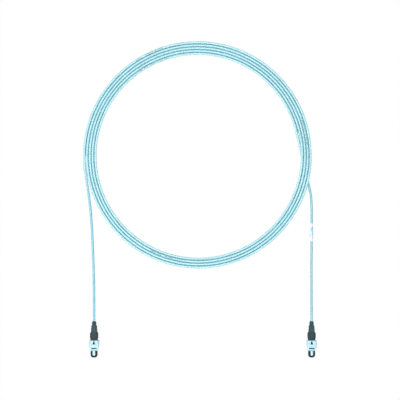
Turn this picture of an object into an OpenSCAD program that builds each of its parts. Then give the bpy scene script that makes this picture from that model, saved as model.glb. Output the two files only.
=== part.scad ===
// Fiber optic patch cord: a round jacketed cord wound into a flat coil, with a twelve-fibre
// push-pull connector on each end. Millimetres, +Z up. The origin lies on the surface the cord
// rests on, midway between the two connectors. Both connectors point along -Y, side by side on X.

/* [Cord] */
// Outer diameter of the round jacket
cord_d = 3; // [2:0.1:3.6]

/* [Coil] */
// Radius of the outermost turn, at its centreline
coil_r = 140; // [100:1:180]
// Whole turns that the coil is wound, apart from its last half turn
whole_turns = 4; // [2:1:6]
// Clear gap between neighbouring turns
turn_gap = 0.42; // [0.42:0.02:3]
// Distance of the coil's centre from the middle of the connectors, along X
coil_x = -6; // [-12:1:0]
// Distance of the coil's centre from the middle of the connectors, along Y
coil_y = 225.7; // [215:0.1:235]
// Angle below the centre's level where the outer turn leaves the coil
leave_outer = 9; // [3:1:15]
// Angle above the centre's level where the inner turn leaves the coil
leave_inner = 13; // [8:1:18]
// Straight run of the inner end, under the turns it crosses
under_run = 70; // [60:1:80]
// Clear height between the straight run and the turns that pass over it
hump_gap = 0.6; // [0.42:0.02:2]
// Half the length over which a turn rises and comes down again
hump_half = 50; // [35:1:70]

/* [Label] */
// Length of the wrapped label
label_l = 22; // [10:0.5:30]
// Thickness of the label film
label_film = 0.15; // [0.05:0.05:0.3]
// How far the label's joined edge stands out from the cord
label_fin = 1; // [0.5:0.1:3]
// Place of the label's middle on the cord, along Y
label_y = 131.5; // [120:0.5:145]

/* [Connectors] */
// Distance between the two connectors' axes
spacing = 267; // [240:1:290]
// Place of the boot's cable end, along Y
boot_end_y = 22.1; // [16:0.5:28]

/* [Boot] */
// Length of the boot outside the rear body
boot_l = 13.5; // [12:0.5:20]
// Wall of the boot over the crimp ring, behind its knob
boot_wall = 1.2; // [0.6:0.05:1.6]
// How far the boot widens towards the rear body, on each side
boot_flare = 0.65; // [0.2:0.05:1]
// Wall of the boot over the crimp ring, at its two flats
boot_flat_wall = 0.7; // [0.4:0.05:0.9]
// Length of the knob at the boot's cable end
knob_l = 4; // [2:0.1:5]
// Wall of the knob at its end face
knob_end_wall = 0.65; // [0.3:0.05:1.2]
// How far the knob swells beyond its end face, on each side
knob_swell = 0.65; // [0.4:0.05:1]
// Width of the groove between the knob and the rest of the boot
groove_l = 0.8; // [0.4:0.1:1.6]
// Wall of the boot at the bottom of that groove
groove_wall = 0.7; // [0.4:0.05:1]

/* [Crimp ring] */
// Wall of the crimp ring over the spigot
crimp_wall = 0.6; // [0.3:0.05:1]
// Wall of the crimp ring over the jacket
crimp_thin_wall = 0.4; // [0.2:0.05:0.6]
// Length of the crimp ring's wide part
crimp_wide_l = 5.4; // [4:0.1:7]
// Distance from the crimp ring's end to the boot's groove
crimp_to_groove = 0.2; // [0.1:0.1:1.5]

/* [Rear body] */
// Width of the rear body
rear_w = 10; // [9:0.1:12]
// Thickness of the rear body
rear_t = 6.8; // [6:0.1:8]
// Length of the rear body between the boot and the inner housing
rear_l = 7.9; // [6:0.1:12]
// Width of the flat on top of and under the rear body
rear_flat_w = 4.6; // [3.6:0.1:6.4]
// Height of the rear body's side faces
rear_side_h = 3.2; // [2:0.1:4]
// Length of the rear body's neck inside the inner housing
neck_l = 4.1; // [3.4:0.1:5.5]
// Wall of the spigot under the crimp ring
spigot_wall = 0.45; // [0.3:0.05:0.6]
// Length of the spigot
spigot_l = 5.8; // [4:0.1:7]

/* [Inner housing] */
// Side wall of the inner housing around the ferrule flange
front_wall = 0.3; // [0.25:0.05:0.6]
// How far the rear part of the inner housing is wider, on each side
housing_step = 0.3; // [0.1:0.05:0.6]
// Top and bottom wall of the inner housing
housing_top_wall = 0.9; // [0.7:0.05:1.4]
// Length of the wide part of the inner housing
housing_wide_l = 9.1; // [8:0.1:11]
// Length of the narrower part, as far as the nose
housing_front_l = 6.5; // [5.5:0.1:9]
// Side wall of the nose
nose_wall = 0.5; // [0.3:0.05:0.7]
// Top and bottom wall of the nose
nose_top_wall = 1; // [0.6:0.05:1.2]
// Distance from the nose's shoulder back to the seat of the ferrule flange
flange_seat = 0.5; // [0.3:0.1:1.2]
// Radius of the nose's front corners
nose_corner = 1.2; // [0.2:0.1:2]
// Room around the ferrule flange in its cavity, on each side
flange_room = 0.2; // [0.1:0.05:0.4]
// Width of the key on the nose
key_w = 3; // [2:0.1:4]
// How far the key stands out of the nose
key_h = 0.75; // [0.4:0.05:1.2]
// Depth of the key's groove in the nose
key_groove = 0.25; // [0.1:0.05:0.4]

/* [Ferrule] */
// Width of the ferrule
ferrule_w = 6.4; // [6:0.1:7]
// Thickness of the ferrule
ferrule_t = 2.5; // [2.2:0.1:3]
// Length of the ferrule with its flange
ferrule_l = 8; // [7:0.1:9]
// How far the ferrule flange stands out sideways
flange_side = 0.3; // [0.2:0.05:0.5]
// How far the ferrule flange stands out above and below
flange_top = 0.25; // [0.15:0.05:0.4]
// Length of the ferrule flange
flange_l = 2; // [1:0.1:2.6]
// How far the ferrule stands out of the nose
ferrule_out = 0.4; // [0.1:0.05:1]
// Diameter of each guide pin hole
guide_d = 0.7; // [0.5:0.05:0.8]
// Distance between the guide pin holes
guide_pitch = 4.6; // [4.5:0.05:4.9]
// Thickness of the pin keeper behind the ferrule
keeper_l = 1.4; // [0.8:0.1:2.2]
// Side wall of the ferrule boot
inner_boot_wall = 0.17; // [0.1:0.01:0.2]
// Top and bottom wall of the ferrule boot
inner_boot_top = 0.45; // [0.2:0.05:0.6]
// Length of the ferrule boot
inner_boot_l = 5.2; // [4.4:0.1:6.4]
// Depth of the ferrule boot in the ferrule
inner_boot_in = 3.4; // [2.4:0.1:4]
// Width of the fibre ribbon
ribbon_w = 3.06; // [2.9:0.02:3.1]
// Thickness of the fibre ribbon
ribbon_t = 0.3; // [0.2:0.02:0.4]
// Travel of the ferrule against its spring
ferrule_travel = 0.5; // [0.3:0.1:1]

/* [Springs] */
// Wire diameter of the main spring
main_wire = 0.45; // [0.3:0.05:0.6]
// How far the main spring lies inside the ferrule flange, at its sides
spring_side_in = 0.2; // [0.1:0.05:0.5]
// How far the main spring lies inside the ferrule flange, above and below
spring_top_in = 0.05; // [0.05:0.05:0.2]
// Curls of the main spring
main_curls = 6; // [4:1:10]
// Wire diameter of the sleeve springs
small_wire = 0.22; // [0.15:0.01:0.3]
// Outer diameter of the sleeve springs
small_spring_d = 1.3; // [1:0.1:1.8]
// Curls of each sleeve spring
small_curls = 5; // [4:1:8]

/* [Coupling sleeve] */
// Side wall of the coupling sleeve over its springs
sleeve_side_wall = 0.35; // [0.3:0.05:0.8]
// Top and bottom wall of the coupling sleeve
sleeve_top_wall = 1.2; // [0.9:0.05:1.8]
// Distance from the coupling sleeve's front to the nose's shoulder
sleeve_setback = 1.3; // [0.8:0.1:2]
// Side wall of the coupling sleeve at its front
sleeve_front_wall = 0.6; // [0.3:0.05:1]
// Top and bottom wall of the coupling sleeve at its front
sleeve_front_top = 0.7; // [0.4:0.05:1.1]
// Length of the coupling sleeve's full-width part
sleeve_wide_l = 5; // [4:0.1:7]
// Radius of the sleeve's long edges
sleeve_corner = 2; // [0.5:0.1:3]
// Width of the window in the sleeve's top and underside
window_w = 6.6; // [4:0.1:7]
// Length of that window
window_l = 1.1; // [0.6:0.1:1.6]
// Distance of the window's middle from the sleeve's front
window_from_front = 2.3; // [1.5:0.1:3.4]
// Width of the thumb recess at the sleeve's rear edge
recess_w = 7.4; // [6:0.1:8]
// Length of the thumb recess
recess_l = 4.6; // [3.4:0.1:5]
// Depth of the thumb recess
recess_depth = 0.35; // [0.2:0.05:0.5]
// Width of the arrow mark's base
arrow_w = 2.4; // [1.6:0.1:3]
// Length of the arrow mark
arrow_l = 3.6; // [2:0.1:3.6]
// Travel of the coupling sleeve against its springs
sleeve_travel = 1.5; // [1:0.1:2.5]

/* [Dust cap] */
// Thickness of the dust cap's side walls
cap_wall = 0.3; // [0.25:0.05:0.8]
// Thickness of the dust cap's top and bottom
cap_top = 0.4; // [0.25:0.05:0.8]
// Thickness of the dust cap's end where its round corners come closest to the ferrule's room
cap_end_wall = 0.24; // [0.15:0.01:0.6]
// Free space between the ferrule's tip and the cap's end
tip_space = 0.3; // [0.2:0.05:1]
// Radius of the dust cap's front corners
cap_corner = 3.2; // [1:0.1:4]
// Free space between the cap's mouth and the shoulder behind the nose
cap_mouth_gap = 0.2; // [0.1:0.05:0.8]

/* [Fits] */
// Clearance on each side of a sliding piece
slide_fit = 0.1; // [0.05:0.01:0.2]
// Clearance on each side of the ferrule in the nose
ferrule_fit = 0.05; // [0.02:0.01:0.1]
// Clearance around the cord in the boot, the crimp ring and the label
cord_fit = 0.05; // [0.02:0.01:0.1]
// Clearance on each side of the key in the cap's slot
key_fit = 0.15; // [0.05:0.05:0.4]
// Clearance on each side of a snapped or seated piece
seat_fit = 0.05; // [0.02:0.01:0.1]
// Room for the strength yarn between the spigot and the crimp ring
yarn_room = 0.15; // [0.1:0.01:0.3]

/* [Hidden] */

$fn = 48;
through = 1; // how far a cut runs past the face it opens
bevel = 0.3; // small bevels on the moulded pieces
soft_edge = 0.4; // small radius on the long edges of the inner housing

// Colours
jacket_colour = [0.55, 0.84, 0.87];
aqua_colour = [0.74, 0.91, 0.95];
black_colour = [0.14, 0.16, 0.17];
boot_colour = [0.17, 0.19, 0.20];
steel_colour = [0.75, 0.76, 0.78];
brass_colour = [0.78, 0.68, 0.42];
ferrule_colour = [0.30, 0.32, 0.34];
paper_colour = [0.95, 0.97, 0.98];

// Cord and coil
cord_r = cord_d / 2;
tail_sides = 8;
loop_sides = 6;
loop_step = 15; // degrees between the rings of a loop, 24 to a turn
fine_step = 5;  // degrees between the rings where the turns rise over the straight run
turn_pitch = (cord_d + turn_gap) / cos(loop_step / 2);
wind_start = -leave_outer;
wind_end = 360 * whole_turns + 180 - leave_inner;
fine_from = 150; // degrees of each turn between which the rings are close together
fine_to = 225;
inner_r = wind_r(wind_end);
hump_h = cord_d + hump_gap;
stub = cord_d; // straight end of the wound tube
run_step = 10; // distance between the rings of the straight run
straight_out = 1.9; // straight length of each tail behind its boot

// Connector: widths and thicknesses, from the ferrule outwards
opening_w = ferrule_w + 2 * ferrule_fit;
opening_t = ferrule_t + 2 * ferrule_fit;
nose_w = opening_w + 2 * nose_wall;
nose_t = opening_t + 2 * nose_top_wall;
flange_w = ferrule_w + 2 * flange_side;
flange_t = ferrule_t + 2 * flange_top;
cavity_w = flange_w + 2 * flange_room;
cavity_t = flange_t + 2 * flange_room;
front_w = cavity_w + 2 * front_wall;
housing_w = front_w + 2 * housing_step;
housing_t = cavity_t + 2 * housing_top_wall;
inner_boot_w = ribbon_w + 2 * inner_boot_wall;
inner_boot_t = ribbon_t + 2 * inner_boot_top;
main_spring_w = flange_w - 2 * spring_side_in;
main_spring_h = flange_t - 2 * spring_top_in;
channel_d = small_spring_d + 2 * slide_fit;
channel_cut = 0.05; // how far a channel breaks into the cavity
channel_x = housing_w / 2 + slide_fit + channel_d / 2 - channel_cut;
sleeve_w = 2 * channel_x + channel_d + 2 * sleeve_side_wall;
sleeve_t = housing_t + 2 * slide_fit + 2 * sleeve_top_wall;
sleeve_front_w = front_w + 2 * slide_fit + 2 * sleeve_front_wall;
sleeve_front_t = housing_t + 2 * slide_fit + 2 * sleeve_front_top;
axis_z = sleeve_t / 2;

// Connector: places along Y, from the cable end to the nose
body_rear_y = boot_end_y - boot_l;
housing_rear_y = body_rear_y - rear_l;
neck_front_y = housing_rear_y - neck_l;
housing_step_y = housing_rear_y - housing_wide_l;
nose_rear_y = housing_step_y - housing_front_l;
nose_l = ferrule_l - flange_l - ferrule_out - flange_seat;
nose_front_y = nose_rear_y - nose_l;
ferrule_tip_y = nose_front_y - ferrule_out;
ferrule_rear_y = ferrule_tip_y + ferrule_l;
flange_front_y = ferrule_rear_y - flange_l;
keeper_rear_y = ferrule_rear_y + keeper_l;
jacket_end_y = body_rear_y + spigot_l;
crimp_end_y = boot_end_y - knob_l - groove_l - crimp_to_groove;

// Cord's way into the connector: the boot grips the crimp ring, which grips jacket and spigot
cord_bore = cord_d + 2 * cord_fit;
crimp_d = cord_bore + 2 * crimp_wall;
boot_bore = cord_bore + 2 * seat_fit;
crimp_room_d = crimp_d + 2 * seat_fit;
knob_end_d = boot_bore + 2 * knob_end_wall;
knob_d = knob_end_d + 2 * knob_swell;
groove_d = boot_bore + 2 * groove_wall;
boot_mid_d = crimp_room_d + 2 * boot_wall;
boot_front_d = boot_mid_d + 2 * boot_flare;
boot_flat = crimp_room_d + 2 * boot_flat_wall;
spigot_d = cord_bore - 2 * yarn_room;
spigot_bore = spigot_d - 2 * spigot_wall;
barb_h = 0.08;
barb_l = 0.5;

// Coupling sleeve: its rear edge stands clear of the rear body by its travel and a little more
sleeve_clear = 0.4;
sleeve_rear_y = housing_rear_y - sleeve_travel - sleeve_clear;
sleeve_front_y = nose_rear_y + sleeve_setback;
sleeve_narrow_y = housing_step_y - sleeve_travel - slide_fit;
sleeve_lip = 0.4;
ear_gap = 0.3;
ear_l = 0.6;
ear_rear_y = sleeve_rear_y - sleeve_lip - ear_gap;
ear_front_y = ear_rear_y - ear_l;
channel_front_y = sleeve_rear_y - sleeve_wide_l - 0.2;
web_h = 0.8;

// Dust cap
cap_rear_y = nose_rear_y - cap_mouth_gap;
cap_inner_y = ferrule_tip_y - tip_space;
cap_w = nose_w + 2 * slide_fit + 2 * cap_wall;
cap_room_w = ferrule_w + 2 * slide_fit;
cap_room_past = max(0, cap_room_w / 2 - cap_w / 2 + cap_corner); // past the corner's centre
cap_end = cap_corner - sqrt(pow(cap_corner - cap_end_wall, 2) - pow(cap_room_past, 2));
cap_front_y = cap_inner_y - cap_end;
cap_t = nose_t + 2 * slide_fit + 2 * cap_top;

// Key
key_rear_y = sleeve_front_y - 0.3;
key_front_y = nose_front_y + 0.2;

// Ribbon in the ferrule
ribbon_in = 1.7; // how far the ribbon runs on into the ferrule past the ferrule boot
ribbon_fit = 0.02;

// Latch between the rear body's neck and the inner housing
latch_w = 3;
latch_l = 1;
latch_h = 0.4;
latch_y = housing_rear_y - 2.4;

// The outer tail's route, from the coil to the left connector
tail_a_points = [
    [-142.5, 191, 1.5], [-141.2, 183, 1.5], [-140.1, 175, 1.5], [-139.1, 167, 1.5],
    [-138.2, 159, 1.5], [-137.5, 151, 1.5], [-136.9, 143, 1.5], [-136.4, 135, 1.5],
    [-136, 127, 1.5], [-135.6, 119, 1.5], [-135.3, 111, 1.5], [-135, 103, 1.5],
    [-134.7, 95, 1.6], [-134.4, 87, 1.7], [-134.2, 79, 1.9], [-134, 71, 2.1],
    [-133.8, 63, 2.4], [-133.7, 55, 2.8], [-133.6, 47, 3.2], [-133.5, 39, 3.6],
    [-133.5, 31, 3.85]
];

// The inner tail's route, from the coil to the right connector, straight through the label
tail_b_points = [
    [132.9, 176, 1.5], [133.5, 169, 1.5], [133.8, 161, 1.5], [133.9, 153, 1.6],
    [133.8, 146, 1.7], [133.8, 139, 1.7], [133.8, 132, 1.7], [133.8, 125, 1.7],
    [133.8, 117, 1.7], [133.7, 109, 1.7], [133.6, 101, 1.7], [133.5, 93, 1.8],
    [133.5, 85, 1.9], [133.5, 77, 2], [133.5, 69, 2.2], [133.5, 61, 2.5],
    [133.5, 53, 2.9], [133.5, 45, 3.3], [133.5, 38, 3.6], [133.5, 31, 3.85]
];
label_x = 133.8;
label_z = 1.7;

// ---- Curves ----

function unit(v) = v / norm(v);

// Radius of the coil's centreline after it has wound through an angle
function wind_r(angle) = coil_r - turn_pitch * angle / 360;

// Angle below the centre's level at which a turn of this radius crosses the straight run
function cross_angle(r) = acos(min(1, inner_r / r)) - leave_inner;

// How far a turn is lifted at a distance along it from its crossing
function hump(distance) = abs(distance) < hump_half
    ? hump_h * pow(cos(90 * distance / hump_half), 2)
    : 0;

// Lift of the coil at a wound angle: only turns that pass over the straight run rise
function lift(angle) =
    let (from_cross = angle % 360 - 180 - cross_angle(wind_r(angle)))
    angle > 360 * whole_turns ? 0 : hump(from_cross * wind_r(angle) * PI / 180);

// A point on the coil, which winds clockwise from its left side, seen from above
function coil_point(angle) = [
    coil_x - wind_r(angle) * cos(angle),
    coil_y + wind_r(angle) * sin(angle),
    cord_r + lift(angle)
];

// Direction in which the coil runs on at an angle
function coil_way(angle) = [sin(angle), cos(angle), 0];

function in_fine(angle) =
    let (a = angle % 360)
    a >= fine_from && a < fine_to;

// Angles of the coil's rings, closer together where the turns rise
coil_angles = concat(
    [wind_start],
    [for (a = [0 : loop_step : wind_end]) for (f = [0 : fine_step : in_fine(a) ? loop_step - 1 : 0])
        if (a + f < wind_end) a + f],
    [wind_end]
);

coil_start = coil_point(wind_start) - stub * coil_way(wind_start);
coil_end = coil_point(wind_end) + under_run * coil_way(wind_end);

coil_path = concat(
    [coil_start],
    [for (a = coil_angles) coil_point(a)],
    [for (s = [run_step : run_step : under_run - 2 * stub]) coil_point(wind_end) + s * coil_way(wind_end)],
    [coil_end - stub * coil_way(wind_end), coil_end]
);

tail_a_path = concat(
    [coil_start, coil_start - stub * coil_way(wind_start)],
    tail_a_points,
    [[-spacing / 2, boot_end_y + straight_out, axis_z], [-spacing / 2, jacket_end_y, axis_z]]
);

tail_b_path = concat(
    [coil_end, coil_end + stub * coil_way(wind_end)],
    tail_b_points,
    [[spacing / 2, boot_end_y + straight_out, axis_z], [spacing / 2, jacket_end_y, axis_z]]
);

// Distance of a point from the straight piece between two others
function to_piece(p, a, b) =
    let (t = (p - a) * (b - a) / ((b - a) * (b - a)))
    norm(p - a - max(0, min(1, t)) * (b - a));

// Least gap between the surfaces of two stretches of a path that aren't next to each other
function gap_to_itself(path, d, apart) = min([
    for (i = [0 : len(path) - 2]) for (p = [path[i], (path[i] + path[i + 1]) / 2])
        for (j = [i + apart : 1 : len(path) - 2]) to_piece(p, path[j], path[j + 1])
]) - d;

// ---- Shapes ----

// Rings of points around a cord's path, square to it, with the first corner at an angle
function cord_rings(path, sides, turn) = [
    for (i = [0 : len(path) - 1])
        let (way = unit(path[min(i + 1, len(path) - 1)] - path[max(i - 1, 0)]))
        let (side = unit(cross(way, [0, 0, 1])))
        [for (k = [0 : sides - 1]) let (a = turn + 360 * k / sides)
            path[i] + cord_r * (cos(a) * side + sin(a) * cross(side, way))]
];

// Rings of points around a wire that winds about Y
function wire_rings(path, r, sides) = [
    for (p = path)
        let (out = unit([p[0], 0, p[2]]))
        [for (k = [0 : sides - 1]) let (a = 360 * k / sides) p + r * (cos(a) * out - sin(a) * [0, 1, 0])]
];

// A closed tube through rings of points, with flat ends
module tube(rings) {
    n = len(rings);
    sides = len(rings[0]);
    last = (n - 1) * sides;
    walls = [
        for (i = [0 : n - 2]) for (k = [0 : sides - 1])
            let (a = i * sides + k, b = i * sides + (k + 1) % sides)
            each [[a, b, b + sides], [a, b + sides, a + sides]]
    ];
    ends = [for (k = [1 : sides - 2]) each [[0, k + 1, k], [last, last + k, last + k + 1]]];
    polyhedron(points = [for (ring = rings) each ring], faces = concat(walls, ends));
}

module rounded_rect(w, h, r) {
    square([w - 2 * r, h], center = true);
    square([w, h - 2 * r], center = true);
    for (x = [-1, 1]) for (y = [-1, 1])
        translate([x * (w / 2 - r), y * (h / 2 - r)]) circle(r = r);
}

// A bar of a flat outline drawn in X and Z, between two places on Y
module bar(y0, y1) {
    translate([0, max(y0, y1), 0]) rotate([90, 0, 0]) linear_extrude(height = abs(y1 - y0)) children();
}

module box_bar(w, t, y0, y1) {
    bar(y0, y1) square([w, t], center = true);
}

module rod(d, y0, y1) {
    bar(y0, y1) circle(d = d);
}

// Both halves of a shape that is drawn for +X
module both_sides() {
    children();
    mirror([1, 0, 0]) children();
}

module top_and_bottom() {
    children();
    mirror([0, 0, 1]) children();
}

// A whole outline in plan from the points of its right half, as deep as the connector
module plan_cut(half) {
    outline = concat(half, [for (i = [len(half) - 1 : -1 : 0]) [-half[i][0], half[i][1]]]);
    translate([0, 0, -sleeve_t]) linear_extrude(height = 2 * sleeve_t) polygon(outline);
}

// A whole outline seen from the side, from the points of its upper half, as wide as the connector
module side_cut(half) {
    outline = concat(half, [for (i = [len(half) - 1 : -1 : 0]) [half[i][0], -half[i][1]]]);
    translate([-sleeve_w, 0, 0]) rotate([90, 0, 90]) linear_extrude(height = 2 * sleeve_w)
        polygon(outline);
}

module at_end(side) {
    translate([side * spacing / 2, 0, axis_z]) children();
}

// ---- Cord ----

module cable_coil() {
    echo(least_gap_of_the_coil_to_itself = gap_to_itself(coil_path, cord_d, 12));
    color(jacket_colour) tube(cord_rings(coil_path, loop_sides, 30));
}

module cable_tail(path) {
    echo(length_of_the_tail = path_length(path));
    color(jacket_colour) tube(cord_rings(path, tail_sides, 0));
}

function path_length(path) =
    [for (i = [1 : len(path) - 1]) norm(path[i] - path[i - 1])] * [for (i = [1 : len(path) - 1]) 1];

module label() {
    label_d = cord_bore + 2 * label_film;
    color(paper_colour) translate([label_x, 0, label_z]) difference() {
        union() {
            rod(label_d, label_y - label_l / 2, label_y + label_l / 2);
            translate([-label_d / 2 - label_fin, label_y - label_l / 2, -label_film])
                cube([label_fin + label_film, label_l, 2 * label_film]);
        }
        rod(cord_bore, label_y - label_l / 2 - through, label_y + label_l / 2 + through);
    }
}

// ---- Connector pieces, each drawn about its own axis ----

module boot() {
    knob_y = boot_end_y - knob_l;
    skirt_y = knob_y - groove_l;
    outline = [
        [0, boot_end_y], [knob_end_d / 2, boot_end_y],
        [knob_d / 2 - bevel, boot_end_y - knob_l / 2], [knob_d / 2, knob_y + knob_l / 4],
        [knob_d / 2 - bevel, knob_y], [groove_d / 2, knob_y], [groove_d / 2, skirt_y],
        [boot_mid_d / 2 - bevel, skirt_y], [boot_mid_d / 2, skirt_y - bevel],
        [boot_front_d / 2, body_rear_y], [0, body_rear_y]
    ];
    color(boot_colour) difference() {
        intersection() {
            rotate([-90, 0, 0]) rotate_extrude() polygon(outline);
            box_bar(boot_front_d + through, boot_flat, body_rear_y - through, boot_end_y + through);
        }
        rod(boot_bore, body_rear_y, boot_end_y + through);
        rod(crimp_room_d, body_rear_y - through, crimp_end_y + seat_fit);
    }
}

module crimp_ring() {
    color(brass_colour) difference() {
        union() {
            rod(crimp_d, body_rear_y, body_rear_y + crimp_wide_l);
            rod(cord_bore + 2 * crimp_thin_wall, body_rear_y, crimp_end_y);
        }
        rod(cord_bore, body_rear_y - through, crimp_end_y + through);
    }
}

module rear_body() {
    half_w = rear_w / 2;
    section = [
        [half_w, rear_side_h / 2], [rear_flat_w / 2, rear_t / 2],
        [-rear_flat_w / 2, rear_t / 2], [-half_w, rear_side_h / 2],
        [-half_w, -rear_side_h / 2], [-rear_flat_w / 2, -rear_t / 2],
        [rear_flat_w / 2, -rear_t / 2], [half_w, -rear_side_h / 2]
    ];
    rear_shoulder = 0.9;
    front_shoulder = 1.6;
    chamber_w = ribbon_w + 0.5;
    color(black_colour) difference() {
        union() {
            intersection() {
                bar(housing_rear_y, body_rear_y) polygon(section);
                plan_cut([
                    [boot_front_d / 2 + bevel / 2, body_rear_y],
                    [half_w - bevel, body_rear_y - rear_shoulder / 2], [half_w, body_rear_y - rear_shoulder],
                    [half_w, housing_rear_y + front_shoulder], [half_w - bevel, housing_rear_y]
                ]);
            }
            box_bar(cavity_w - 2 * seat_fit, cavity_t - 2 * seat_fit, neck_front_y, housing_rear_y);
            top_and_bottom() translate([-latch_w / 2, latch_y - latch_l / 2, 0])
                cube([latch_w, latch_l, cavity_t / 2 + latch_h]);
            rod(spigot_d, body_rear_y, jacket_end_y);
            for (i = [1 : 3])
                rod(spigot_d + 2 * barb_h, body_rear_y + i * spigot_l / 4,
                    body_rear_y + i * spigot_l / 4 + barb_l);
        }
        box_bar(chamber_w, spigot_bore, neck_front_y - through, body_rear_y - 1);
        rod(spigot_bore, body_rear_y - 2, jacket_end_y + through);
    }
}

module inner_housing() {
    color(black_colour) difference() {
        union() {
            bar(housing_step_y, housing_rear_y) rounded_rect(housing_w, housing_t, soft_edge);
            bar(nose_rear_y, housing_step_y) rounded_rect(front_w, housing_t, soft_edge);
            intersection() {
                bar(nose_front_y, nose_rear_y) rounded_rect(nose_w, nose_t, soft_edge);
                plan_cut(nose_plan(nose_w / 2, nose_front_y, nose_corner));
            }
            both_sides() ear();
        }
        box_bar(opening_w, opening_t, nose_front_y - through, flange_front_y);
        box_bar(cavity_w, cavity_t, flange_front_y - seat_fit, housing_rear_y + through);
        translate([-key_w / 2 - seat_fit, key_front_y - seat_fit, nose_t / 2 - key_groove])
            cube([key_w + 2 * seat_fit, key_rear_y - key_front_y + 2 * seat_fit, housing_t]);
        top_and_bottom() translate([-latch_w / 2 - seat_fit, latch_y - latch_l / 2 - seat_fit, 0])
            cube([latch_w + 2 * seat_fit, latch_l + 2 * seat_fit, housing_t]);
    }
}

// Ear on the inner housing's side: the rear seat of a sleeve spring
module ear() {
    translate([channel_x, 0, 0]) rod(small_spring_d, ear_front_y, ear_rear_y);
    translate([housing_w / 2 - bevel, ear_front_y, -web_h / 2])
        cube([channel_x - housing_w / 2 + bevel, ear_l, web_h]);
}

// Right half of a plan with a round front corner, open towards the rear
function nose_plan(half_w, front_y, r) = concat(
    [[half_w, front_y + 3 * nose_l]],
    [for (a = [0 : 15 : 90]) [half_w - r + r * cos(a), front_y + r - r * sin(a)]]
);

module key_insert() {
    r = key_w / 2;
    base_z = nose_t / 2 - key_groove;
    color(aqua_colour) translate([0, 0, base_z]) {
        translate([0, key_front_y + r, 0]) cylinder(r = r, h = key_groove + key_h);
        translate([-r, key_front_y + r, 0])
            cube([key_w, key_rear_y - key_front_y - r, key_groove + key_h]);
    }
}

module ferrule() {
    inner_w = inner_boot_w + 2 * seat_fit;
    inner_t = inner_boot_t + 2 * seat_fit;
    chamber_y = ferrule_rear_y - inner_boot_in;
    color(ferrule_colour) difference() {
        union() {
            box_bar(ferrule_w, ferrule_t, ferrule_tip_y, ferrule_rear_y);
            box_bar(flange_w, flange_t, flange_front_y, ferrule_rear_y);
        }
        box_bar(inner_w, inner_t, chamber_y, ferrule_rear_y + through);
        box_bar(ribbon_w + 2 * seat_fit, ribbon_t + 2 * seat_fit,
            chamber_y - ribbon_in - seat_fit, chamber_y + through);
        translate([-ribbon_w / 2, chamber_y - ribbon_in, 0])
            cube([ribbon_w, ribbon_in - bevel, ferrule_t]);
        both_sides() translate([guide_pitch / 2, 0, 0])
            rod(guide_d, ferrule_tip_y - through, ferrule_rear_y + through);
    }
}

module pin_keeper() {
    color(steel_colour) difference() {
        box_bar(flange_w - 2 * seat_fit, flange_t - 2 * seat_fit, ferrule_rear_y, keeper_rear_y);
        box_bar(inner_boot_w + 4 * slide_fit, inner_boot_t + 4 * slide_fit,
            ferrule_rear_y - through, keeper_rear_y + through);
    }
}

module ferrule_boot() {
    front_y = ferrule_rear_y - inner_boot_in;
    color(boot_colour) difference() {
        box_bar(inner_boot_w, inner_boot_t, front_y, front_y + inner_boot_l);
        box_bar(ribbon_w + 2 * ribbon_fit, ribbon_t + 2 * ribbon_fit,
            front_y - through, front_y + inner_boot_l + through);
    }
}

// Twelve fibres side by side, gathered into a round bundle towards the cord
module fibre_ribbon() {
    bundle_d = spigot_bore - 0.6;
    flat_y = neck_front_y + 1;
    round_y = body_rear_y - 1.8;
    slice = 0.1;
    color(jacket_colour) {
        box_bar(ribbon_w, ribbon_t, ferrule_rear_y - inner_boot_in - ribbon_in, flat_y);
        hull() {
            box_bar(ribbon_w, ribbon_t, flat_y - slice, flat_y);
            bar(round_y, round_y + slice) circle(d = bundle_d, $fn = 24);
        }
        rod(bundle_d, round_y, jacket_end_y - ferrule_travel - 1);
    }
}

// An oval compression spring about Y, between its two seats
module spring(w, h, wire, curls, y0, y1) {
    steps = 8 * curls;
    path = [
        for (i = [0 : steps])
            let (a = 360 * curls * i / steps, run = y1 - y0 - wire - 2 * seat_fit)
            [
                (w - wire) / 2 * cos(a), y0 + seat_fit + wire / 2 + run * i / steps,
                (h - wire) / 2 * sin(a)
            ]
    ];
    tube(wire_rings(path, wire / 2, loop_sides));
}

module main_spring() {
    color(steel_colour)
        spring(main_spring_w, main_spring_h, main_wire, main_curls, keeper_rear_y, neck_front_y);
}

module sleeve_springs() {
    color(steel_colour) both_sides() translate([channel_x, 0, 0])
        spring(small_spring_d, small_spring_d, small_wire, small_curls, channel_front_y, ear_front_y);
}

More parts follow.
